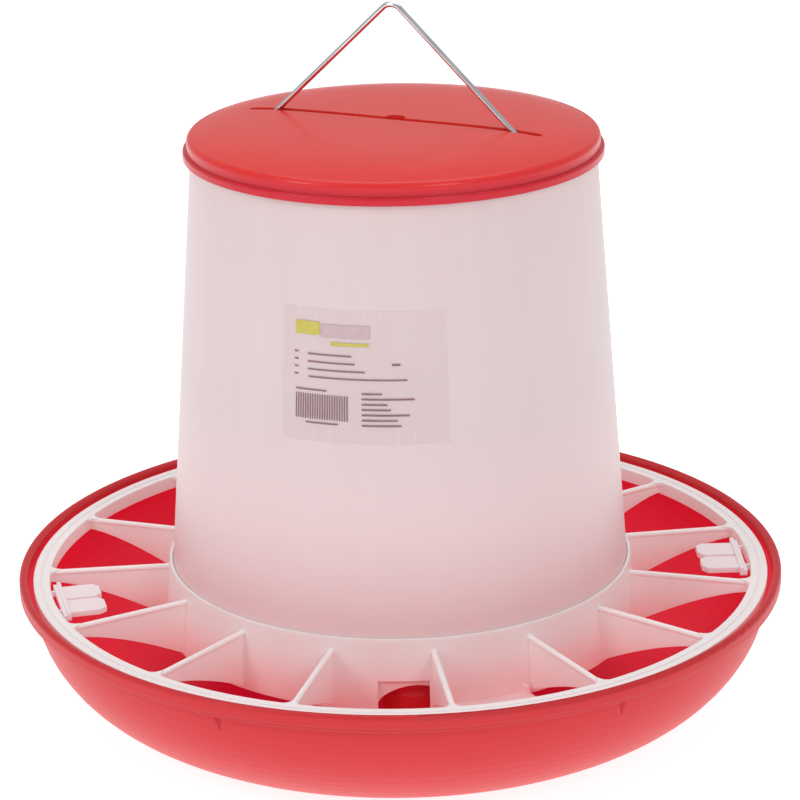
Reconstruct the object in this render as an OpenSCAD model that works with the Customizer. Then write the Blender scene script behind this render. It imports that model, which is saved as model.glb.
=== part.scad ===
/* [Pan] */
// Outer radius of the pan's rim
pan_r = 210; // [190:1:255]
// Height of the pan's rim above the floor
pan_h = 75; // [62:1:92]
// Radius of the flat base
pan_base_r = 131; // [120:1:140]
// Wall thickness of the pan
pan_wall = 2.2; // [1.8:0.1:2.8]
// Radial width of the rolled lip
lip_w = 4.4; // [3.6:0.1:5.4]
// Height of the lip's outer skirt
lip_h = 7; // [5.8:0.1:8.4]
// How far the bowl's wall stands in from the lip
lip_step = 7; // [6:0.1:8.4]

/* [Posts that carry the hopper] */
// Number of posts round the pan
post_count = 3; // [2:1:4]
// Radius of a post at its shoulder
post_r = 16.5; // [13.8:0.1:19.8]
// Radius of the peg on top of each post
peg_r = 5; // [4.1:0.1:6]

/* [Grille] */
// Number of fins, a multiple of the number of posts
fin_count = 15; // [9:3:21]
// Thickness of a fin's web
fin_t = 2; // [1.6:0.1:2.4]
// Height of a fin where it meets the outer ring
fin_h_ring = 7; // [5.8:0.1:8.4]
// Radial width of the outer ring
ring_w = 8.9; // [7.4:0.1:10.7]
// Thickness of the outer ring
ring_t = 2.4; // [2:0.1:2.9]
// Depth of the ring's top below the rim
ring_drop = 3.2; // [2.6:0.1:3.9]
// Gap between the ring and the pan's lip
ring_gap = 3.2; // [2.6:0.1:3.9]
// Wall thickness of the collar
collar_wall = 1.6; // [1.3:0.1:2]
// Height of the collar's top edge above the rim
collar_rise = 4.7; // [3.9:0.1:5.7]

/* [Hopper] */
// Outer radius at the hopper's open base
hopper_base_r = 128.2; // [107:0.1:132]
// Outer radius at the hopper's mouth
hopper_top_r = 107.2; // [89:0.1:112]
// Height of the hopper
hopper_h = 271; // [225:1:326]
// Wall thickness of the hopper
hopper_wall = 1.8; // [1.5:0.1:2.2]
// Depth of the hopper's base below the rim
hopper_sink = 33; // [27:1:36]

/* [Lid] */
// How far the lid's flange overhangs the hopper
lid_over = 4.4; // [3.9:0.1:5.3]
// Height of the flange
flange_h = 4.1; // [3.4:0.1:5]
// Height of the step above the flange
lid_step_h = 7.5; // [6.8:0.1:9]
// Rise of the crown over the step
crown_h = 5.7; // [4.7:0.1:6.9]
// Wall thickness of the lid
lid_wall = 1.6; // [1.3:0.1:1.9]
// Length of the slot for the bail
slot_len = 169; // [164:1:180]
// Width of the slot
slot_w = 5.2; // [5:0.1:6.2]

/* [Bail] */
// Wire diameter
wire_d = 3; // [2.5:0.1:3.3]
// Height above the lid's centre at which the two legs would cross
bail_rise = 63.6; // [53:0.1:75]
// Distance of a leg from the axis where it passes the lid
leg_at_lid = 67.6; // [60:0.1:70]

/* [Hidden] */
$fn = 96;

// Azimuths, in degrees from +X
fin_start = -82.5;
fin_pitch = 360 / fin_count;
post_az = -86.5;
post_pitch = 360 / post_count;
window_az = fin_start - 7.1;
shelf_az = fin_start + 13.5;
dent_az = -117;
bail_az = -24.5;

// Clearances
collar_gap = 0.5;
pivot_gap = 0.08;
peg_gap = 0.4;
lid_gap = 0.7;

// Heights, measured from the floor
rim_z = pan_h;
ring_z = rim_z - ring_drop;
hopper_z = rim_z - hopper_sink;
mouth_z = hopper_z + hopper_h;
collar_z = hopper_z - 0.6;
collar_top_z = rim_z + collar_rise;
arch_h = 12;
pad_z = hopper_z + arch_h;
pad_t = 3;

function hopper_out(z) =
    hopper_base_r + (z - hopper_z) * (hopper_top_r - hopper_base_r) / hopper_h;
function collar_in(z) = hopper_out(z) + collar_gap;
function collar_out(z) = collar_in(z) + collar_wall;

// Points on an arc round c, from angle a0 to a1 in steps parts
function arc(c, r, a0, a1, steps) = [
    for (k = [0 : steps]) let (a = a0 + (a1 - a0) * k / steps) [c[0] + r * cos(a), c[1] + r * sin(a)]
];

module around(count, first, pitch) {
    for (k = [0 : count - 1])
        rotate([0, 0, first + k * pitch])
            children();
}

// ---- Pan: a spun bowl with a rolled lip, a seat for the grille and posts for the hopper
wall_r = pan_r - lip_step;
lip_in_r = pan_r - lip_w;
lip_round = lip_w / 2;
seat_z = ring_z - 4.3;
bowl_top_z = seat_z - pan_wall;
bowl_steps = 18;
bowl_curve = 1.93;
spreader_r = 62;
spreader_h = 16;
dent_w = 6;
dent_h = 9.5;
dent_d = 1.5;
post_draft = 1.6;
peg_h = 7;

// Bowl outline at a share of its quarter turn, from the top of the wall to the flat base
function bowl(top_r, top_z, base_r, base_z, q) = [
    base_r + (top_r - base_r) * pow(cos(q), 2 / bowl_curve),
    base_z + (top_z - base_z) * (1 - pow(sin(q), 2 / bowl_curve))
];
function bowl_side(top_r, top_z, base_r, base_z) = [
    for (k = [0 : bowl_steps]) bowl(top_r, top_z, base_r, base_z, 90 * k / bowl_steps)
];
function reversed(list) = [for (k = [len(list) - 1 : -1 : 0]) list[k]];

module pan_section() {
    outside = bowl_side(wall_r, bowl_top_z, pan_base_r, 0);
    inside = bowl_side(wall_r - pan_wall, seat_z, pan_base_r, pan_wall);
    polygon(concat(
        outside,
        [[0, 0], [0, pan_wall + spreader_h], [spreader_r * 0.35, pan_wall + spreader_h * 0.82], [spreader_r, pan_wall]],
        reversed(inside),
        [[lip_in_r, seat_z], [lip_in_r, rim_z - lip_round], [pan_r, rim_z - lip_round], [pan_r, rim_z - lip_h],
         [lip_in_r + pan_wall, rim_z - lip_h], [lip_in_r + pan_wall, bowl_top_z]]
    ));
    translate([pan_r - lip_round, rim_z - lip_round])
        circle(r = lip_round, $fn = 48);
}

// A post is hollow from below, with a round shoulder and a peg that enters the hopper's pad
module post_outside() {
    foot_r = post_r + post_draft;
    shoulder_z = pad_z - 8;
    rotate_extrude()
        polygon([[0, pan_wall / 2], [foot_r, pan_wall / 2], [post_r, shoulder_z], [post_r - 0.7, shoulder_z + 1.4],
                 [post_r - 3, shoulder_z + 3.6], [post_r - 3.4, pad_z - 1], [post_r - 4.4, pad_z], [0, pad_z]]);
    cylinder(r = peg_r, h = pad_z + peg_h);
}

module post_inside() {
    translate([0, 0, -1])
        cylinder(r1 = post_r + post_draft - pan_wall, r2 = post_r - 5 - pan_wall, h = pad_z - pan_wall + 1);
}

post_axis_r = hopper_out(pad_z) - hopper_wall - post_r - 1.5;

module dent() {
    translate([wall_r - dent_d, 0, bowl_top_z - 0.6])
        rotate([90, 0, 90])
            linear_extrude(height = dent_d * 3)
                polygon([[-dent_w / 2, 0], [dent_w / 2, 0], [0, -dent_h]]);
}

module pan() {
    color([0.84, 0.07, 0.12])
        difference() {
            union() {
                rotate_extrude($fn = 180)
                    pan_section();
                around(post_count, post_az, post_pitch)
                    translate([post_axis_r, 0, 0])
                        post_outside();
            }
            around(post_count, post_az, post_pitch)
                translate([post_axis_r, 0, 0])
                    post_inside();
            translate([0, 0, -1])
                cylinder(r1 = spreader_r - pan_wall * 2, r2 = 2, h = spreader_h + 1, $fn = 180);
            around(6, dent_az, 60)
                dent();
        }
}

// ---- Grille: a conical collar, radial fins and an outer ring that sits in the pan
ring_r = lip_in_r - ring_gap;
ring_in_r = ring_r - ring_w;
ring_skirt_t = 1.5;
fin_top_hub_z = rim_z - 1.3;
bead_r = 1.6;
fin_fillet = 5;
fin_foot = 1.5;
bead_sink = 0.4;
fillet_step = 0.15;
groove_r = ring_r - 4.4;
groove_w = 1;
groove_d = 0.5;
arch_steps = 8;
window_half = 6;
window_top_z = rim_z - 18;
shelf_half = 9;
shelf_d = 11;
shelf_t = 2;

// Lower edge of a fin: shallow at the ring, deep at the collar
function fin_low(r) = let (
        share = (ring_in_r - r) / (ring_in_r - collar_out(collar_z)),
        drop = ring_z - fin_h_ring - collar_z - fin_foot
    ) ring_z - fin_h_ring - drop * pow(max(share, 0), 1.5);

module fin() {
    r0 = collar_out(collar_z) - collar_wall / 2;
    r1 = collar_out(fin_top_hub_z) - collar_wall / 2;
    r2 = ring_in_r + 1;
    run = r2 - r1;
    fall = fin_top_hub_z - ring_z + bead_sink;
    arch = [for (k = [0 : arch_steps])
        let (r = ring_in_r + (collar_out(collar_z) - ring_in_r) * k / arch_steps) [r, fin_low(r)]];
    rotate([90, 0, 0])
        linear_extrude(height = fin_t, center = true)
            polygon(concat([[r0, collar_z + fin_foot], [r1, fin_top_hub_z - bead_r], [r2, ring_z - bead_r],
                            [r2, ring_z - fin_h_ring]], arch));
    translate([r1, 0, fin_top_hub_z - bead_r])
        rotate([0, 90 + atan(fall / run), 0])
            cylinder(r = bead_r, h = run + 1, $fn = 32);
}

// Fillet in plan between a fin and the ring, left just short of true tangency
module corner() {
    across = fin_t / 2 + fin_fillet;
    cx = sqrt(pow(ring_in_r - fin_fillet, 2) - across * across) - 0.15;
    polygon(concat([[cx, 0], [ring_in_r + 0.5, 0], [ring_in_r + 0.5, across]],
                   arc([cx, across], fin_fillet, 0, -90, 8)));
}

module ring() {
    rotate_extrude($fn = 180)
        difference() {
            translate([ring_in_r, ring_z - ring_t])
                square([ring_w, ring_t]);
            translate([groove_r - groove_w / 2, ring_z - groove_d])
                square([groove_w, groove_d + 1]);
        }
    translate([0, 0, seat_z])
        linear_extrude(height = ring_z - seat_z - 1)
            difference() {
                circle(r = ring_r, $fn = 180);
                circle(r = ring_r - ring_skirt_t, $fn = 180);
            }
    translate([0, 0, ring_z - fin_h_ring - 0.5])
        linear_extrude(height = fin_h_ring - 1)
            difference() {
                circle(r = ring_in_r + ring_skirt_t, $fn = 180);
                circle(r = ring_in_r, $fn = 180);
            }
}

module collar() {
    z0 = collar_z;
    z1 = collar_top_z;
    rotate_extrude($fn = 180)
        polygon([[collar_in(z0), z0], [collar_out(z0), z0], [collar_out(z1), z1], [collar_in(z1), z1]]);
}

// Wedge of a ring in plan, half degrees to each side of +X
module wedge(r_in, r_out, half, height) {
    far = r_out * 2;
    linear_extrude(height = height)
        intersection() {
            difference() {
                circle(r = r_out, $fn = 180);
                circle(r = r_in, $fn = 180);
            }
            polygon([[0, 0], [far * cos(half), -far * sin(half)], [far * cos(half), far * sin(half)]]);
        }
}

module shelf() {
    r_in = collar_out(collar_z) - collar_wall / 2;
    translate([0, 0, collar_z])
        wedge(r_in, r_in + shelf_d, shelf_half, shelf_t);
    rotate([0, 0, shelf_half - 0.6])
        translate([r_in, -fin_t / 2, collar_z])
            cube([shelf_d * 0.4, fin_t, shelf_t * 3]);
}

module grille() {
    color([0.93, 0.90, 0.91])
        union() {
            difference() {
                collar();
                around(post_count, window_az, post_pitch)
                    translate([0, 0, collar_z - 1])
                        wedge(hopper_base_r - 15, collar_out(collar_z) + 5, window_half, window_top_z - collar_z + 1);
            }
            around(post_count, shelf_az, post_pitch)
                shelf();
            ring();
            around(fin_count, fin_start, fin_pitch) {
                fin();
                translate([0, 0, ring_z - ring_t + fillet_step])
                    linear_extrude(height = ring_t - 2 * fillet_step) {
                        corner();
                        mirror([0, 1])
                            corner();
                    }
            }
        }
}

// ---- Hopper: a tapered open shell with arches over the posts and pads that rest on them
boss_r = 4.5;
boss_len = 4;
pad_w = 22;
pad_d = 2 * (post_r - 1);
flange_z = mouth_z - 7;
step_z = flange_z + flange_h;
pivot_z = step_z - lid_wall - wire_d / 2 - 0.3;
hole_r = wire_d / 2 + pivot_gap;
arch_half = 21;
arch_shoulder = 17.4;
arch_shoulder_h = 6.4;
arch_rise = arch_h - arch_shoulder_h;
arch_rad = (arch_shoulder * arch_shoulder + arch_rise * arch_rise) / (2 * arch_rise);
arch_turn = asin(arch_shoulder / arch_rad);

module cone_shell() {
    z1 = mouth_z;
    rotate_extrude($fn = 180)
        polygon([[hopper_base_r - hopper_wall, hopper_z], [hopper_base_r, hopper_z],
                 [hopper_top_r, z1], [hopper_top_r - hopper_wall, z1]]);
}

// Round-topped cut in front of a post, with sloping sides that open towards the base
module arch() {
    translate([hopper_base_r - 14, 0, hopper_z])
        rotate([90, 0, 90])
            linear_extrude(height = 20)
                polygon(concat([[-arch_half - 3, -1], [arch_half + 3, -1]],
                               arc([0, arch_h - arch_rad], arch_rad, 90 - arch_turn, 90 + arch_turn, 12)));
}

module pad() {
    depth = hopper_out(pad_z) - hopper_wall / 2 - (post_axis_r - pad_d / 2);
    difference() {
        translate([post_axis_r - pad_d / 2, -pad_w / 2, pad_z])
            cube([depth, pad_w, pad_t]);
        translate([post_axis_r, 0, pad_z - 1])
            cylinder(r = peg_r + peg_gap, h = pad_t + 2);
    }
}

module hopper() {
    color([0.93, 0.80, 0.80])
        difference() {
            union() {
                difference() {
                    cone_shell();
                    around(post_count, post_az, post_pitch)
                        arch();
                }
                around(post_count, post_az, post_pitch)
                    pad();
                around(2, bail_az, 180)
                    translate([hopper_out(pivot_z) - hopper_wall - boss_len + 1, 0, pivot_z])
                        rotate([0, 90, 0])
                            cylinder(r = boss_r, h = boss_len, $fn = 48);
            }
            rotate([0, 0, bail_az])
                translate([-hopper_base_r, 0, pivot_z])
                    rotate([0, 90, 0])
                        cylinder(r = hole_r, h = hopper_base_r * 2, $fn = 48);
        }
}

// ---- Lid: flange, step, round shoulder and a low crown with a slot for the bail
flange_in_r = hopper_top_r + lid_over - lid_wall;
flange_r = hopper_top_r + lid_over;
step_in_r = hopper_top_r + lid_gap;
step_r = step_in_r + lid_wall;
shoulder_z = step_z + lid_step_h;
shoulder_round = 3.5;
crown_edge_r = step_r - shoulder_round;
crown_z = shoulder_z + crown_h;
crown_power = 5;
crown_steps = 20;
crown_turn = atan(crown_power * crown_h / crown_edge_r);
spigot_r = hopper_top_r - hopper_wall - 0.8;
spigot_t = 1.6;
spigot_z = pivot_z + 2.8;
spigot_notch = 14;
slot_lip_d = 6;
slot_lip_t = 1.4;
notch_r = 5.4;
flange_round = 1.2;

// Top of the crown at a distance from the axis: nearly flat, then falling towards the shoulder
function crown_top(r) = crown_z - crown_h * pow(r / crown_edge_r, crown_power);

// Half outline of the crown and its round shoulder, set in by inset, from the axis down to z0
function crown_side(inset, z0) = concat(
    [for (k = [0 : crown_steps]) let (r = crown_edge_r * k / crown_steps) [r, crown_top(r) - inset]],
    arc([crown_edge_r, shoulder_z - shoulder_round], shoulder_round - inset, 90 - crown_turn, 0, 8),
    [[crown_edge_r + shoulder_round - inset, z0]]
);

module crown_fill(inset, z0) {
    polygon(concat([[0, z0]], crown_side(inset, z0)));
}

module lid_section() {
    outside = crown_side(0, step_z);
    inside = crown_side(lid_wall, mouth_z + lid_wall);
    polygon(concat(
        outside,
        arc([flange_r - flange_round, step_z - flange_round], flange_round, 90, 0, 6),
        [[flange_r, flange_z], [flange_in_r, flange_z], [flange_in_r, step_z - lid_wall],
         [step_in_r, step_z - lid_wall], [step_in_r, mouth_z], [spigot_r, mouth_z], [spigot_r, spigot_z],
         [spigot_r - spigot_t, spigot_z], [spigot_r - spigot_t, mouth_z + lid_wall]],
        reversed(inside)
    ));
}

module slot_plan(grow) {
    half = slot_len / 2 - slot_w / 2;
    translate([-half, -slot_w / 2 - grow])
        square([half * 2, slot_w + grow * 2]);
    translate([-half, 0])
        circle(r = slot_w / 2 + grow, $fn = 48);
    translate([half, 0])
        circle(r = slot_w / 2 + grow, $fn = 48);
    translate([0, slot_w / 2])
        circle(r = notch_r + grow, $fn = 48);
}

module lid() {
    lip_z = crown_z - slot_lip_d - lid_wall;
    color([0.86, 0.14, 0.16])
        difference() {
            union() {
                rotate_extrude($fn = 180)
                    lid_section();
                intersection() {
                    rotate_extrude($fn = 180)
                        crown_fill(lid_wall / 2, lip_z);
                    rotate([0, 0, bail_az])
                        linear_extrude(height = crown_z)
                            slot_plan(slot_lip_t);
                }
            }
            rotate([0, 0, bail_az])
                translate([0, 0, lip_z - 1])
                    linear_extrude(height = crown_z - lip_z + 3)
                        slot_plan(0);
            around(2, bail_az, 180)
                translate([spigot_r - spigot_t - 1, -spigot_notch / 2, spigot_z - 1])
                    cube([spigot_t + 2, spigot_notch, mouth_z - spigot_z + 1]);
        }
}

// ---- Bail: one bent wire; its feet are the hinge pins in the hopper's wall
peak_z = crown_z + bail_rise;
leg_z = crown_top(leg_at_lid);
leg_slope = atan((peak_z - leg_z) / leg_at_lid);
knee_u = leg_at_lid + (leg_z - pivot_z) / tan(leg_slope);
foot_end_u = hopper_out(pivot_z) + 1.4;
peak_bend = 7;
knee_bend = 5;

peak_cut = peak_bend * tan(leg_slope);
knee_cut = knee_bend * tan(leg_slope / 2);
foot_u = knee_u + knee_cut;
wire_sides = 24;
wire_skin = 0.01;

// Centre line of the right half in the bail's plane, as [distance out, height, slope]
half_line = concat(
    [for (k = [0 : 6]) let (a = leg_slope * k / 6)
        [peak_bend * sin(a), peak_z - peak_bend / cos(leg_slope) + peak_bend * cos(a), -a]],
    [for (k = [0 : 6]) let (a = leg_slope * (1 - k / 6))
        [foot_u - knee_bend * sin(a), pivot_z + knee_bend - knee_bend * cos(a), -a]],
    [[foot_u + 1, pivot_z, 0]]
);
centre_line = concat(
    [for (k = [len(half_line) - 1 : -1 : 1]) [-half_line[k][0], half_line[k][1], -half_line[k][2]]],
    half_line
);

// Ring of points round one point of the centre line
function wire_ring(p) = [for (k = [0 : wire_sides - 1])
    let (
        t = 360 * k / wire_sides,
        across = (wire_d / 2 - wire_skin) * cos(t)
    ) [p[0] - across * sin(p[2]), (wire_d / 2 - wire_skin) * sin(t), p[1] + across * cos(p[2])]];

module bent_wire() {
    rings = len(centre_line);
    sides = wire_sides;
    polyhedron(
        points = [for (p = centre_line) each wire_ring(p)],
        faces = concat(
            [[for (k = [sides - 1 : -1 : 0]) k]],
            [for (j = [0 : rings - 2]) for (k = [0 : sides - 1])
                let (n = (k + 1) % sides) [j * sides + n, (j + 1) * sides + n, (j + 1) * sides + k, j * sides + k]],
            [[for (k = [0 : sides - 1]) (rings - 1) * sides + k]]
        )
    );
}

module bail() {
    color([0.75, 0.76, 0.78])
        rotate([0, 0, bail_az]) {
            bent_wire();
            for (side = [-1, 1])
                translate([side * foot_u, 0, pivot_z])
                    rotate([0, side * 90, 0])
                        cylinder(r = wire_d / 2, h = foot_end_u - foot_u, $fn = 48);
        }
}

// ---- Label: a clear film that lies on the hopper's wall
label_az = -98.6;
label_half = 21.5;
label_z0 = rim_z + 108;
label_z1 = rim_z + 177;
film_t = 0.25;

module label() {
    color([0.95, 0.92, 0.92])
        intersection() {
            rotate_extrude($fn = 180)
                polygon([[hopper_out(label_z0), label_z0], [hopper_out(label_z0) + film_t, label_z0],
                         [hopper_out(label_z1) + film_t, label_z1], [hopper_out(label_z1), label_z1]]);
            rotate([0, 0, label_az])
                translate([0, 0, label_z0])
                    wedge(10, hopper_base_r + 5, label_half, label_z1 - label_z0);
        }
}

// ---- Spare clips: two-pronged forks that hang on the ring by two thin bridges
clip_t = 3;
clip_len = 45;
clip_base_d = 4;
prong_len = 20;
prong_w = 17;
prong_slit = 2.4;
clip_gap = 1.4;
clip_rib_h = 1.4;
bridge_w = 1.4;

module clip() {
    base_x = ring_in_r - clip_gap - clip_base_d - 1.6;
    prong_x = base_x - prong_len;
    linear_extrude(height = clip_t)
        intersection() {
            union() {
                translate([base_x, -clip_len / 2])
                    square([clip_base_d, clip_len]);
                for (side = [-1, 1])
                    translate([prong_x, side * (prong_w + prong_slit) / 2])
                        polygon([[0, -prong_w / 2 + 4], [3, -prong_w / 2], [prong_len + 1, -prong_w / 2],
                                 [prong_len + 1, prong_w / 2], [4, prong_w / 2], [0, prong_w / 2 - 3]]);
                for (side = [-1, 1])
                    translate([base_x + 1, side * clip_len * 0.3 - bridge_w / 2])
                        square([ring_w + clip_base_d, bridge_w]);
            }
            circle(r = ring_in_r, $fn = 180);
        }
    translate([base_x, -clip_len / 2, clip_t / 2])
        cube([clip_base_d / 2, clip_len, clip_t / 2 + clip_rib_h]);
}

clip_z = ring_z - 5;
clip_az_left = fin_start - 3.5 * fin_pitch;
clip_az_right = fin_start + 3.5 * fin_pitch;

module spare_clip_left() {
    color([0.93, 0.90, 0.91])
        rotate([0, 0, clip_az_left])
            translate([0, 0, clip_z])
                clip();
}

module spare_clip_right() {
    color([0.93, 0.90, 0.91])
        rotate([0, 0, clip_az_right])
            translate([0, 0, clip_z])
                clip();
}

pan();
grille();
hopper();
lid();
bail();
label();
spare_clip_left();
spare_clip_right();
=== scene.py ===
import math

import bpy
from mathutils import Matrix, Vector


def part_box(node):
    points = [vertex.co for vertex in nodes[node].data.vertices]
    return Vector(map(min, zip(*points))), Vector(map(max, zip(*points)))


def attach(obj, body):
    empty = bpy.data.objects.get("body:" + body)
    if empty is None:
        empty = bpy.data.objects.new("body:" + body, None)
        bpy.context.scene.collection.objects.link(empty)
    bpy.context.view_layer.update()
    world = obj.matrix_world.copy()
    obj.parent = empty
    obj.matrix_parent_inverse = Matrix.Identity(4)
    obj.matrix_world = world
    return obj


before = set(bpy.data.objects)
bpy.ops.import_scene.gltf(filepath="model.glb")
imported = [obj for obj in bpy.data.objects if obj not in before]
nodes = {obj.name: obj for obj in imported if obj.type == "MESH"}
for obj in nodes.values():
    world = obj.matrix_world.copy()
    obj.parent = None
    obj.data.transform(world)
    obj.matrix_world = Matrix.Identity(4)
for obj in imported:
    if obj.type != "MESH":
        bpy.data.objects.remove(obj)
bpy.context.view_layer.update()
print("frame loaded")


def tone(red, green, blue):
    # screen values from 0 to 255, as the linear colour that a socket takes
    values = [v / 255 for v in (red, green, blue)]
    linear = [v / 12.92 if v <= 0.04045 else ((v + 0.055) / 1.055) ** 2.4 for v in values]
    return (*linear, 1)


# small helpers for node trees

def newGroup(name, inputs, outputs):
    tree = bpy.data.node_groups.new(name, "ShaderNodeTree")
    for label, kind, value in inputs:
        socket = tree.interface.new_socket(name=label, in_out="INPUT", socket_type=kind)
        socket.default_value = value
    for label, kind in outputs:
        tree.interface.new_socket(name=label, in_out="OUTPUT", socket_type=kind)
    return tree, tree.nodes.new("NodeGroupInput"), tree.nodes.new("NodeGroupOutput")


def mathNode(tree, operation, first, second=None, third=None, clamp=False):
    node = tree.nodes.new("ShaderNodeMath")
    node.operation = operation
    node.use_clamp = clamp
    for index, value in enumerate((first, second, third)):
        if isinstance(value, bpy.types.NodeSocket):
            tree.links.new(value, node.inputs[index])
        elif value is not None:
            node.inputs[index].default_value = value
    return node.outputs[0]


def vectorNode(tree, operation, first, second=None):
    node = tree.nodes.new("ShaderNodeVectorMath")
    node.operation = operation
    for index, value in enumerate((first, second)):
        if isinstance(value, bpy.types.NodeSocket):
            tree.links.new(value, node.inputs[index])
        elif value is not None:
            node.inputs[index].default_value = value
    return node.outputs


def splitNode(tree, vector):
    node = tree.nodes.new("ShaderNodeSeparateXYZ")
    tree.links.new(vector, node.inputs[0])
    return node.outputs


def mixTones(tree, share, low, high):
    node = tree.nodes.new("ShaderNodeMix")
    node.data_type = "RGBA"
    for name, value in (("Factor_Float", share), ("A_Color", low), ("B_Color", high)):
        socket = next(s for s in node.inputs if s.identifier == name)
        if isinstance(value, bpy.types.NodeSocket):
            tree.links.new(value, socket)
        else:
            socket.default_value = value
    return next(s for s in node.outputs if s.identifier == "Result_Color")


# node groups, each built once and placed in the materials with its own values

def buildMouldGrain():
    # soft clouding in the colour and the fine texture of a moulded skin
    tree, entry, out = newGroup(
        "mouldGrain",
        [("Cloud Scale", "NodeSocketFloat", 14.0), ("Grain Scale", "NodeSocketFloat", 900.0)],
        [("Cloud", "NodeSocketFloat"), ("Grain", "NodeSocketFloat")])
    place = tree.nodes.new("ShaderNodeTexCoord")
    for label, scale, detail in (("Cloud", "Cloud Scale", 3), ("Grain", "Grain Scale", 2)):
        noise = tree.nodes.new("ShaderNodeTexNoise")
        noise.inputs["Detail"].default_value = detail
        tree.links.new(place.outputs["Object"], noise.inputs["Vector"])
        tree.links.new(entry.outputs[scale], noise.inputs["Scale"])
        tree.links.new(noise.outputs["Fac"], out.inputs[label])
    return tree


def buildSoftEdge():
    # rounds a sharp moulded edge and masks it, so that a painted highlight can be laid along the edge (the film
    # uses the mask for its cut edge)
    tree, entry, out = newGroup(
        "softEdge",
        [("Radius", "NodeSocketFloat", 0.0005), ("Spread", "NodeSocketFloat", 3.0)],
        [("Normal", "NodeSocketVector"), ("Edge", "NodeSocketFloat")])
    bevel = tree.nodes.new("ShaderNodeBevel")
    bevel.samples = 6
    tree.links.new(entry.outputs["Radius"], bevel.inputs["Radius"])
    geometry = tree.nodes.new("ShaderNodeNewGeometry")
    dot = vectorNode(tree, "DOT_PRODUCT", bevel.outputs["Normal"], geometry.outputs["Normal"])
    bend = mathNode(tree, "SUBTRACT", 1.0, dot["Value"])
    mask = mathNode(tree, "MULTIPLY", bend, entry.outputs["Spread"], clamp=True)
    tree.links.new(mask, out.inputs["Edge"])
    tree.links.new(bevel.outputs["Normal"], out.inputs["Normal"])
    return tree


def buildHeightFade():
    # 0 at the Low height and 1 at the High one, with soft ends
    tree, entry, out = newGroup(
        "heightFade",
        [("Low", "NodeSocketFloat", 0.0), ("High", "NodeSocketFloat", 0.1)],
        [("Share", "NodeSocketFloat")])
    place = tree.nodes.new("ShaderNodeTexCoord")
    span = tree.nodes.new("ShaderNodeMapRange")
    span.interpolation_type = "SMOOTHSTEP"
    tree.links.new(splitNode(tree, place.outputs["Object"])["Z"], span.inputs["Value"])
    tree.links.new(entry.outputs["Low"], span.inputs["From Min"])
    tree.links.new(entry.outputs["High"], span.inputs["From Max"])
    tree.links.new(span.outputs["Result"], out.inputs["Share"])
    return tree


def buildFlowLines():
    # faint streaks that run up a wall, from where the melt flowed
    tree, entry, out = newGroup(
        "flowLines",
        [("Across", "NodeSocketFloat", 9.0), ("Along", "NodeSocketFloat", 2.0)],
        [("Streak", "NodeSocketFloat")])
    place = tree.nodes.new("ShaderNodeTexCoord")
    at = splitNode(tree, place.outputs["Object"])
    turn = mathNode(tree, "ARCTAN2", at["Y"], at["X"])
    east = mathNode(tree, "MULTIPLY", mathNode(tree, "COSINE", turn), entry.outputs["Across"])
    north = mathNode(tree, "MULTIPLY", mathNode(tree, "SINE", turn), entry.outputs["Across"])
    rise = mathNode(tree, "MULTIPLY", at["Z"], entry.outputs["Along"])
    join = tree.nodes.new("ShaderNodeCombineXYZ")
    for index, value in enumerate((east, north, rise)):
        tree.links.new(value, join.inputs[index])
    noise = tree.nodes.new("ShaderNodeTexNoise")
    noise.inputs["Scale"].default_value = 1.0
    noise.inputs["Detail"].default_value = 4.0
    tree.links.new(join.outputs[0], noise.inputs["Vector"])
    tree.links.new(noise.outputs["Fac"], out.inputs["Streak"])
    return tree


def buildInnerSide():
    # 1 on faces that look up or towards the axis, 0 on those that look out or down
    tree, entry, out = newGroup(
        "innerSide", [("Sharpness", "NodeSocketFloat", 4.0)], [("Inner", "NodeSocketFloat")])
    place = tree.nodes.new("ShaderNodeTexCoord")
    flat = vectorNode(tree, "MULTIPLY", place.outputs["Object"], (1, 1, 0))
    outward = vectorNode(tree, "NORMALIZE", flat["Vector"])
    dot = vectorNode(tree, "DOT_PRODUCT", outward["Vector"], place.outputs["Normal"])
    upward = splitNode(tree, place.outputs["Normal"])["Z"]
    facing = mathNode(tree, "SUBTRACT", upward, dot["Value"])
    facing = mathNode(tree, "MULTIPLY", facing, entry.outputs["Sharpness"], clamp=True)
    tree.links.new(facing, out.inputs["Inner"])
    return tree


groups = {
    "inner": buildInnerSide(),
    "grain": buildMouldGrain(),
    "edge": buildSoftEdge(),
    "fade": buildHeightFade(),
    "flow": buildFlowLines(),
}
print("node groups built")


# parts that the materials share

plasticIor = 1.49


def newMaterial(name, plain):
    # a material with its shader; plain values are the same all over and are set on the shader itself
    material = bpy.data.materials.new(name)
    material.use_nodes = True
    shader = material.node_tree.nodes["Principled BSDF"]
    for label, value in plain.items():
        shader.inputs[label].default_value = value
    return material, material.node_tree, shader


def addGroup(tree, which, **values):
    node = tree.nodes.new("ShaderNodeGroup")
    node.node_tree = groups[which]
    for label, value in values.items():
        node.inputs[label.replace("_", " ")].default_value = value
    return node.outputs


def addGrain(tree, look):
    return addGroup(tree, "grain", Cloud_Scale=look["cloudScale"], Grain_Scale=look["grainScale"])


def addEdge(tree, look):
    return addGroup(tree, "edge", Radius=look["edgeRadius"], Spread=look["edgeSpread"])


def spread(tree, value, low, high):
    # a 0 to 1 value, spread between two others
    return mathNode(tree, "MULTIPLY_ADD", value, high - low, low)


def addSkin(tree, shader, edge, grain, look):
    # the moulded or drawn skin: grain as bump, over the rounded edges
    bump = tree.nodes.new("ShaderNodeBump")
    bump.inputs["Strength"].default_value = look["bump"]
    bump.inputs["Distance"].default_value = look["bumpDepth"]
    tree.links.new(grain["Grain"], bump.inputs["Height"])
    tree.links.new(edge["Normal"], bump.inputs["Normal"])
    tree.links.new(bump.outputs["Normal"], shader.inputs["Normal"])


# red mouldings: the pan and the lid

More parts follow.
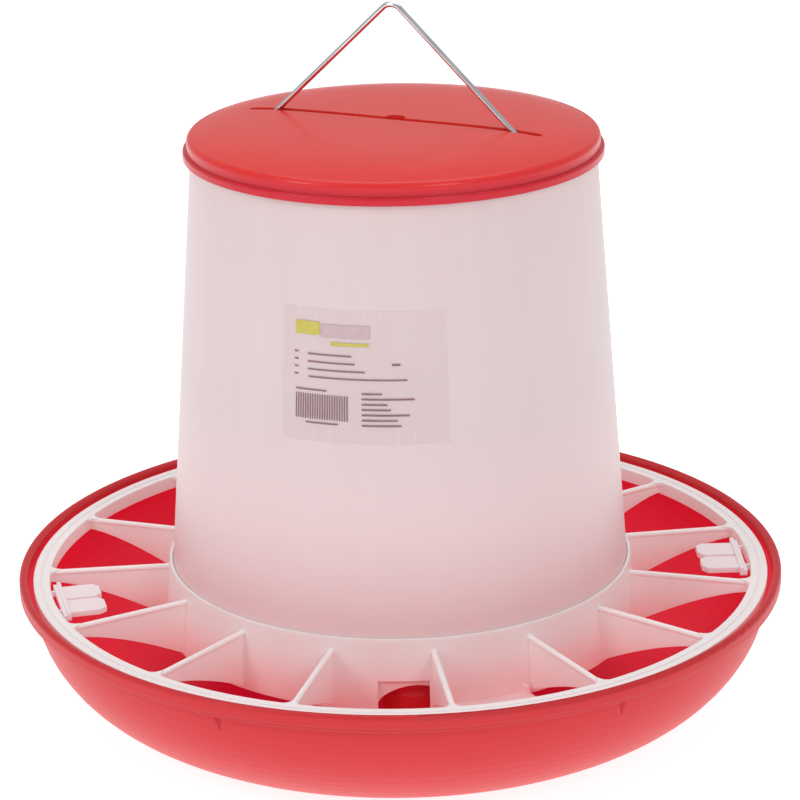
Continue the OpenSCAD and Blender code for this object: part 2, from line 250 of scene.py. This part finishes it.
def mouldedRed(name, look):
    material, tree, shader = newMaterial(name, {
        "IOR": plasticIor, "Coat Weight": look["coat"], "Coat Roughness": look["coatRough"],
        "Specular IOR Level": look["shine"], "Emission Strength": look["paintedGlow"]})
    grain = addGrain(tree, look)
    edge = addEdge(tree, look)
    fade = addGroup(tree, "fade", Low=look["fadeLow"], High=look["fadeHigh"])
    inner = addGroup(tree, "inner")
    below = addGroup(tree, "fade", Low=look["deepTop"], High=look["deepTop"] - look["deepSoft"])
    cloud = mathNode(tree, "MULTIPLY", grain["Cloud"], look["cloud"], clamp=True)
    # painted highlight: edges are mixed towards the pale tone, as if they caught the light
    edgeHighlight = mathNode(tree, "MULTIPLY", edge["Edge"], look["edge"], clamp=True)
    # painted light: faces inside the bowl, below the rim, are mixed towards the saturated inner red
    deepShare = mathNode(tree, "MULTIPLY", inner["Inner"], below["Share"])
    body = mixTones(tree, fade["Share"], look["low"], look["high"])
    body = mixTones(tree, cloud, body, look["paleAndHighlight"])
    body = mixTones(tree, mathNode(tree, "MULTIPLY", deepShare, look["deepen"]), body, look["deep"])
    tree.links.new(mixTones(tree, edgeHighlight, body, look["paleAndHighlight"]), shader.inputs["Base Color"])
    # painted glow: an emission, dim on outer faces and brighter on faces inside the bowl and facing up,
    # standing in for the light that falls there
    shine = mixTones(tree, deepShare, look["paintedGlowOut"], look["paintedGlowIn"])
    tree.links.new(shine, shader.inputs["Emission Color"])
    tree.links.new(spread(tree, grain["Cloud"], *look["rough"]), shader.inputs["Roughness"])
    addSkin(tree, shader, edge, grain, look)
    return material


panLook = {
    # low to high by height is painted light: paler at the foot, where light from the floor falls, a deeper red
    # higher up; the pale tone serves the clouding and the painted edge highlight
    "low": tone(211, 56, 60), "high": tone(206, 30, 40), "paleAndHighlight": tone(236, 92, 90),
    "fadeLow": 0.0, "fadeHigh": 0.07,                    # heights where low turns to high
    "deep": tone(214, 10, 40), "deepen": 0.9,            # painted light: a more saturated red inside the bowl, standing in for the red light that bounces about in it
    "deepTop": 0.0725, "deepSoft": 0.005,
    # painted glow: dim on the outside, a bright red inside the bowl
    "paintedGlowOut": tone(40, 6, 6), "paintedGlowIn": tone(210, 14, 50), "paintedGlow": 0.34,
    "cloud": 0.12, "cloudScale": 11.0, "grainScale": 1100.0,
    # edge: strength of the painted highlight along the edges
    "edge": 0.7, "edgeRadius": 0.002, "edgeSpread": 2.5,
    "rough": (0.36, 0.48), "bump": 0.12, "bumpDepth": 0.0004,
    "coat": 0.0, "coatRough": 0.2, "shine": 0.4,
}
redPan = mouldedRed("redPan", panLook)

lidLook = {
    "low": tone(204, 10, 42), "high": tone(235, 50, 42), "paleAndHighlight": tone(242, 116, 100),
    "fadeLow": 0.3105, "fadeHigh": 0.3195,               # painted light: a shaded crimson below the step, a crown painted brighter where light falls from above
    "deep": tone(226, 44, 34), "deepen": 0.0,
    "deepTop": 0.4, "deepSoft": 0.005,
    # painted glow: faces that look up glow brighter than those that look out or down
    "paintedGlowOut": tone(80, 4, 12), "paintedGlowIn": tone(110, 22, 16), "paintedGlow": 0.16,
    "cloud": 0.1, "cloudScale": 9.0, "grainScale": 700.0,
    # edge: strength of the painted highlight along the edges
    "edge": 0.5, "edgeRadius": 0.0007, "edgeSpread": 2.5,
    "rough": (0.24, 0.34), "bump": 0.05, "bumpDepth": 0.0004,
    "coat": 0.08, "coatRough": 0.06, "shine": 0.32,
}
redLid = mouldedRed("redLid", lidLook)
print("red mouldings ready")


# milky mouldings: the hopper, the grille and its spare clips

def milkyPlastic(name, look):
    # natural plastic that lets light through, with a painted glow in its own tones: painted pink light low
    # down, where the red pan shines into it
    material, tree, shader = newMaterial(name, {
        "IOR": plasticIor, "Specular IOR Level": look["shine"], "Emission Strength": look["paintedGlow"],
        "Subsurface Weight": look["glow"], "Subsurface Radius": look["glowRadius"],
        "Subsurface Scale": look["glowDepth"]})
    grain = addGrain(tree, look)
    edge = addEdge(tree, look)
    flow = addGroup(tree, "flow", Across=look["across"], Along=look["along"])
    body = look["tones"][0][1]
    for (low, _), (high, colour) in zip(look["tones"], look["tones"][1:]):
        fade = addGroup(tree, "fade", Low=low, High=high)
        body = mixTones(tree, fade["Share"], body, colour)
    streak = mathNode(tree, "MULTIPLY", flow["Streak"], look["streak"], clamp=True)
    body = mixTones(tree, streak, body, look["paleAndHighlight"])
    # painted glow in the tones of the body
    tree.links.new(body, shader.inputs["Emission Color"])
    # painted highlight: edges are mixed towards the pale tone, as if they caught the light
    edgeHighlight = mathNode(tree, "MULTIPLY", edge["Edge"], look["edge"], clamp=True)
    tree.links.new(mixTones(tree, edgeHighlight, body, look["paleAndHighlight"]), shader.inputs["Base Color"])
    tree.links.new(spread(tree, grain["Cloud"], *look["rough"]), shader.inputs["Roughness"])
    addSkin(tree, shader, edge, grain, look)
    return material


hopperLook = {
    # painted light: pinker and lighter low down, where the red pan shines into it; a little darker higher up
    "tones": [                                           # height, colour
        (0.05, tone(246, 212, 212)), (0.125, tone(238, 213, 215)),
        (0.2, tone(220, 203, 205)), (0.3, tone(219, 199, 200)),
    ],
    "paleAndHighlight": tone(238, 224, 225), "streak": 0.3, "across": 9.0, "along": 3.0,
    "cloudScale": 8.0, "grainScale": 900.0,
    # edge: strength of the painted highlight along the edges
    "edge": 0.6, "edgeRadius": 0.0006, "edgeSpread": 2.5,
    "rough": (0.34, 0.46), "bump": 0.06, "bumpDepth": 0.0003, "shine": 0.4,
    # the emission strength, the last value, is a painted glow; the others set real light under the skin
    "glow": 0.2, "glowRadius": (1.0, 0.5, 0.4), "glowDepth": 0.006, "paintedGlow": 0.03,
}
milkyHopper = milkyPlastic("milkyHopper", hopperLook)

grilleLook = {
    # painted light: pink low down, where the red pan shines into it
    "tones": [(0.036, tone(244, 200, 201)), (0.072, tone(246, 240, 239))],
    "paleAndHighlight": tone(252, 245, 246), "streak": 0.2, "across": 30.0, "along": 20.0,
    "cloudScale": 14.0, "grainScale": 900.0,
    # edge: strength of the painted highlight along the edges
    "edge": 0.8, "edgeRadius": 0.0006, "edgeSpread": 2.5,
    "rough": (0.34, 0.46), "bump": 0.06, "bumpDepth": 0.0003, "shine": 0.4,
    # the emission strength, the last value, is a painted glow; the others set real light under the skin
    "glow": 0.2, "glowRadius": (1.0, 0.5, 0.4), "glowDepth": 0.004, "paintedGlow": 0.08,
}
milkyGrille = milkyPlastic("milkyGrille", grilleLook)

clipLook = dict(grilleLook, tones=[(0.066, tone(242, 226, 230)), (0.07, tone(244, 230, 233))])
milkyClip = milkyPlastic("milkyClip", clipLook)
print("milky mouldings ready")


# zinc-plated wire of the bail

def brightWire(name, look):
    material, tree, shader = newMaterial(name, {"Metallic": 1.0, "IOR": look["ior"]})
    grain = addGrain(tree, look)
    edge = addEdge(tree, look)
    plating = mixTones(tree, grain["Cloud"], look["dark"], look["bright"])
    tree.links.new(plating, shader.inputs["Base Color"])
    tree.links.new(spread(tree, grain["Cloud"], *look["rough"]), shader.inputs["Roughness"])
    addSkin(tree, shader, edge, grain, look)
    return material


wireLook = {
    "dark": tone(196, 200, 204), "bright": tone(244, 246, 249), "rough": (0.08, 0.2), "ior": 1.6,
    "cloudScale": 60.0, "grainScale": 2500.0, "edgeRadius": 0.0002, "edgeSpread": 1.0,
    "bump": 0.03, "bumpDepth": 0.0002,
}
zincWire = brightWire("zincWire", wireLook)
print("wire ready")


# clear film of the label

def clearFilm(name, look):
    material, tree, shader = newMaterial(name, {"Roughness": look["rough"], "IOR": look["ior"]})
    grain = addGrain(tree, look)
    edge = addEdge(tree, look)
    sheetTone = mixTones(tree, edge["Edge"], look["face"], look["cutEdge"])
    tree.links.new(sheetTone, shader.inputs["Base Color"])
    seen = mathNode(tree, "MULTIPLY_ADD", grain["Cloud"], look["haze"], look["clear"])
    seen = mathNode(tree, "MULTIPLY_ADD", edge["Edge"], look["edge"], seen, clamp=True)
    tree.links.new(seen, shader.inputs["Alpha"])
    addSkin(tree, shader, edge, grain, look)
    return material


filmLook = {
    "face": tone(232, 214, 216), "cutEdge": tone(196, 172, 176), "rough": 0.25, "ior": 1.5,
    "clear": 0.03, "haze": 0.1, "edge": 0.3,             # shares of the film that are seen
    "cloudScale": 20.0, "grainScale": 400.0, "edgeRadius": 0.0004, "edgeSpread": 2.0,
    "bump": 0.05, "bumpDepth": 0.0002,
}
film = clearFilm("clearFilm", filmLook)
print("film ready")


nodeMaterials = {
    "pan": redPan, "grille": milkyGrille, "hopper": milkyHopper, "lid": redLid, "bail": zincWire,
    "label": film, "spare_clip_left": milkyClip, "spare_clip_right": milkyClip,
}
for nodeName, material in nodeMaterials.items():
    slots = nodes[nodeName].data.materials
    slots.clear()
    slots.append(material)
print("materials assigned")


# print on the label: plain bars that lie on the film

def printInk(name, dark, light, look):
    material, tree, shader = newMaterial(name, {"IOR": look["ior"]})
    grain = addGrain(tree, look)
    tree.links.new(mixTones(tree, grain["Cloud"], dark, light), shader.inputs["Base Color"])
    tree.links.new(spread(tree, grain["Grain"], *look["rough"]), shader.inputs["Roughness"])
    return material


inkLook = {"cloudScale": 260.0, "grainScale": 1800.0, "rough": (0.35, 0.6), "ior": 1.45}
labelPrint = {
    "inks": [                                            # name, dark, light
        ("yellowInk", tone(196, 184, 70), tone(212, 200, 110)),
        ("greyInk", tone(196, 170, 176), tone(210, 186, 190)),
        ("darkInk", tone(120, 84, 92), tone(164, 130, 136)),
    ],
    "gap": 0.00008,                                      # height of the ink over the film
    "widest": 0.012,                                     # widest piece of arc in one face, in radians
    "endBand": 0.0005,                                   # points this near an end give its radius
    "bars": [                                            # left, right, low, high as shares, ink
        (0.08, 0.235, 0.80, 0.90, 0), (0.245, 0.54, 0.79, 0.885, 1), (0.30, 0.535, 0.73, 0.755, 0),
        (0.16, 0.43, 0.650, 0.662, 2), (0.16, 0.45, 0.592, 0.604, 2), (0.16, 0.51, 0.535, 0.547, 2),
        (0.165, 0.76, 0.478, 0.490, 2), (0.67, 0.72, 0.592, 0.608, 2),
        (0.075, 0.10, 0.660, 0.672, 2), (0.075, 0.10, 0.604, 0.616, 2), (0.075, 0.10, 0.548, 0.560, 2),
        (0.075, 0.10, 0.491, 0.503, 2), (0.085, 0.28, 0.380, 0.392, 2), (0.15, 0.35, 0.132, 0.144, 2),
        (0.49, 0.61, 0.372, 0.386, 2), (0.49, 0.80, 0.332, 0.346, 2), (0.49, 0.64, 0.292, 0.306, 2),
        (0.49, 0.66, 0.252, 0.266, 2), (0.49, 0.77, 0.212, 0.226, 2), (0.49, 0.70, 0.172, 0.186, 2),
        (0.49, 0.72, 0.132, 0.146, 2),
    ],
    "hatch": {"left": 0.085, "right": 0.415, "low": 0.165, "high": 0.355, "count": 22, "filled": 0.5, "ink": 2},
}


def filmRadii(label, lowZ, highZ, band):
    # outer radius of the film at its foot and at its top
    points = [v.co for v in label.data.vertices]
    foot = max(p.xy.length for p in points if p.z < lowZ + band)
    top = max(p.xy.length for p in points if p.z > highZ - band)
    return foot, top


def hatchBars(hatch):
    # a regular row of upright bars
    pitch = (hatch["right"] - hatch["left"]) / hatch["count"]
    for index in range(hatch["count"]):
        left = hatch["left"] + index * pitch
        yield left, left + pitch * hatch["filled"], hatch["low"], hatch["high"], hatch["ink"]


def buildLabelPrint(data):
    label = nodes["label"]
    lowCorner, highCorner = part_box("label")
    lowZ, height = lowCorner.z, highCorner.z - lowCorner.z
    footR, topR = filmRadii(label, lowZ, highCorner.z, data["endBand"])
    turns = [math.atan2(v.co.y, v.co.x) for v in label.data.vertices]
    start, span = min(turns), max(turns) - min(turns)
    points, faces, inkOf = [], [], []
    for left, right, low, high, ink in [*data["bars"], *hatchBars(data["hatch"])]:
        count = max(1, math.ceil((right - left) * span / data["widest"]))
        for index in range(count + 1):
            turn = start + span * (left + (right - left) * index / count)
            for share in (low, high):
                radius = footR + (topR - footR) * share + data["gap"]
                points.append((radius * math.cos(turn), radius * math.sin(turn), lowZ + height * share))
            if index:
                first = len(points) - 4
                faces.append((first, first + 2, first + 3, first + 1))
                inkOf.append(ink)
    mesh = bpy.data.meshes.new("label_print")
    mesh.from_pydata(points, [], faces)
    for name, dark, light in data["inks"]:
        mesh.materials.append(printInk(name, dark, light, inkLook))
    for polygon, ink in zip(mesh.polygons, inkOf):
        polygon.material_index = ink
        polygon.use_smooth = True
    piece = bpy.data.objects.new("label_print", mesh)
    bpy.context.scene.collection.objects.link(piece)
    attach(piece, "hopper")


buildLabelPrint(labelPrint)
print("label print built")


# floor, light and camera

stage = {
    "floorSide": 14.0, "floorTone": (0.54, 0.54, 0.54, 1), "floorPale": (0.58, 0.58, 0.58, 1),
    "floorGlow": 0.84, "floorRough": 0.9, "floorShine": 0.1, "cloudScale": 1.5, "grainScale": 60.0,
    "skyTone": (1.0, 1.0, 1.0, 1), "skyStrength": 0.48,
    "lights": [                                          # name, place, width, height, watts
        ("leftLight", (-1.78, -1.29, 1.5), 0.6, 0.9, 10.0),
        ("rightLight", (1.01, -1.95, 1.5), 0.6, 0.9, 8.5),
        ("topLight", (0.0, 0.6, 2.6), 2.2, 1.4, 18.0),
    ],
    "aim": (0.0, 0.0, 0.17),
}


def buildFloor(data):
    half = data["floorSide"] / 2
    corners = [(-half, -half, 0), (half, -half, 0), (half, half, 0), (-half, half, 0)]
    mesh = bpy.data.meshes.new("floor")
    mesh.from_pydata(corners, [], [(0, 1, 2, 3)])
    material, tree, shader = newMaterial("paleFloor", {
        "Roughness": data["floorRough"], "Specular IOR Level": data["floorShine"],
        "Emission Strength": data["floorGlow"], "Emission Color": data["skyTone"]})
    grain = addGrain(tree, data)
    paint = mixTones(tree, grain["Cloud"], data["floorTone"], data["floorPale"])
    tree.links.new(paint, shader.inputs["Base Color"])
    mesh.materials.append(material)
    floor = bpy.data.objects.new("floor", mesh)
    bpy.context.scene.collection.objects.link(floor)


def buildLights(data):
    world = bpy.data.worlds.new("studio")
    world.use_nodes = True
    sky = world.node_tree.nodes["Background"]
    sky.inputs["Color"].default_value = data["skyTone"]
    sky.inputs["Strength"].default_value = data["skyStrength"]
    bpy.context.scene.world = world
    for name, place, width, height, watts in data["lights"]:
        lamp = bpy.data.lights.new(name, "AREA")
        lamp.shape = "RECTANGLE"
        lamp.size, lamp.size_y, lamp.energy = width, height, watts
        light = bpy.data.objects.new(name, lamp)
        light.location = place
        aim = Vector(data["aim"]) - Vector(place)
        light.rotation_euler = aim.to_track_quat("-Z", "Y").to_euler()
        bpy.context.scene.collection.objects.link(light)


view = {
    "place": (0.0, -1.53715, 0.70058),
    "right": (0.999871564, -0.00601061138, -0.0148569182),
    "up": (0.0160068766, 0.328419436, 0.944396344),
    "ahead": (0.000797098735, 0.944512862, -0.328473466),
    "lens": 134.43, "sensor": 36.0, "near": 0.05, "far": 60.0,
}


def buildCamera(data):
    lens = bpy.data.cameras.new("camera")
    lens.lens = data["lens"]
    lens.sensor_width = data["sensor"]
    lens.clip_start, lens.clip_end = data["near"], data["far"]
    camera = bpy.data.objects.new("camera", lens)
    right, up, ahead = Vector(data["right"]), Vector(data["up"]), Vector(data["ahead"])
    turn = Matrix((right, up, -ahead)).transposed().to_4x4()
    camera.matrix_world = Matrix.Translation(data["place"]) @ turn
    bpy.context.scene.collection.objects.link(camera)
    bpy.context.scene.camera = camera


buildFloor(stage)
buildLights(stage)
buildCamera(view)
bpy.context.scene.view_settings.view_transform = "Standard"
print("floor, lights and camera built")
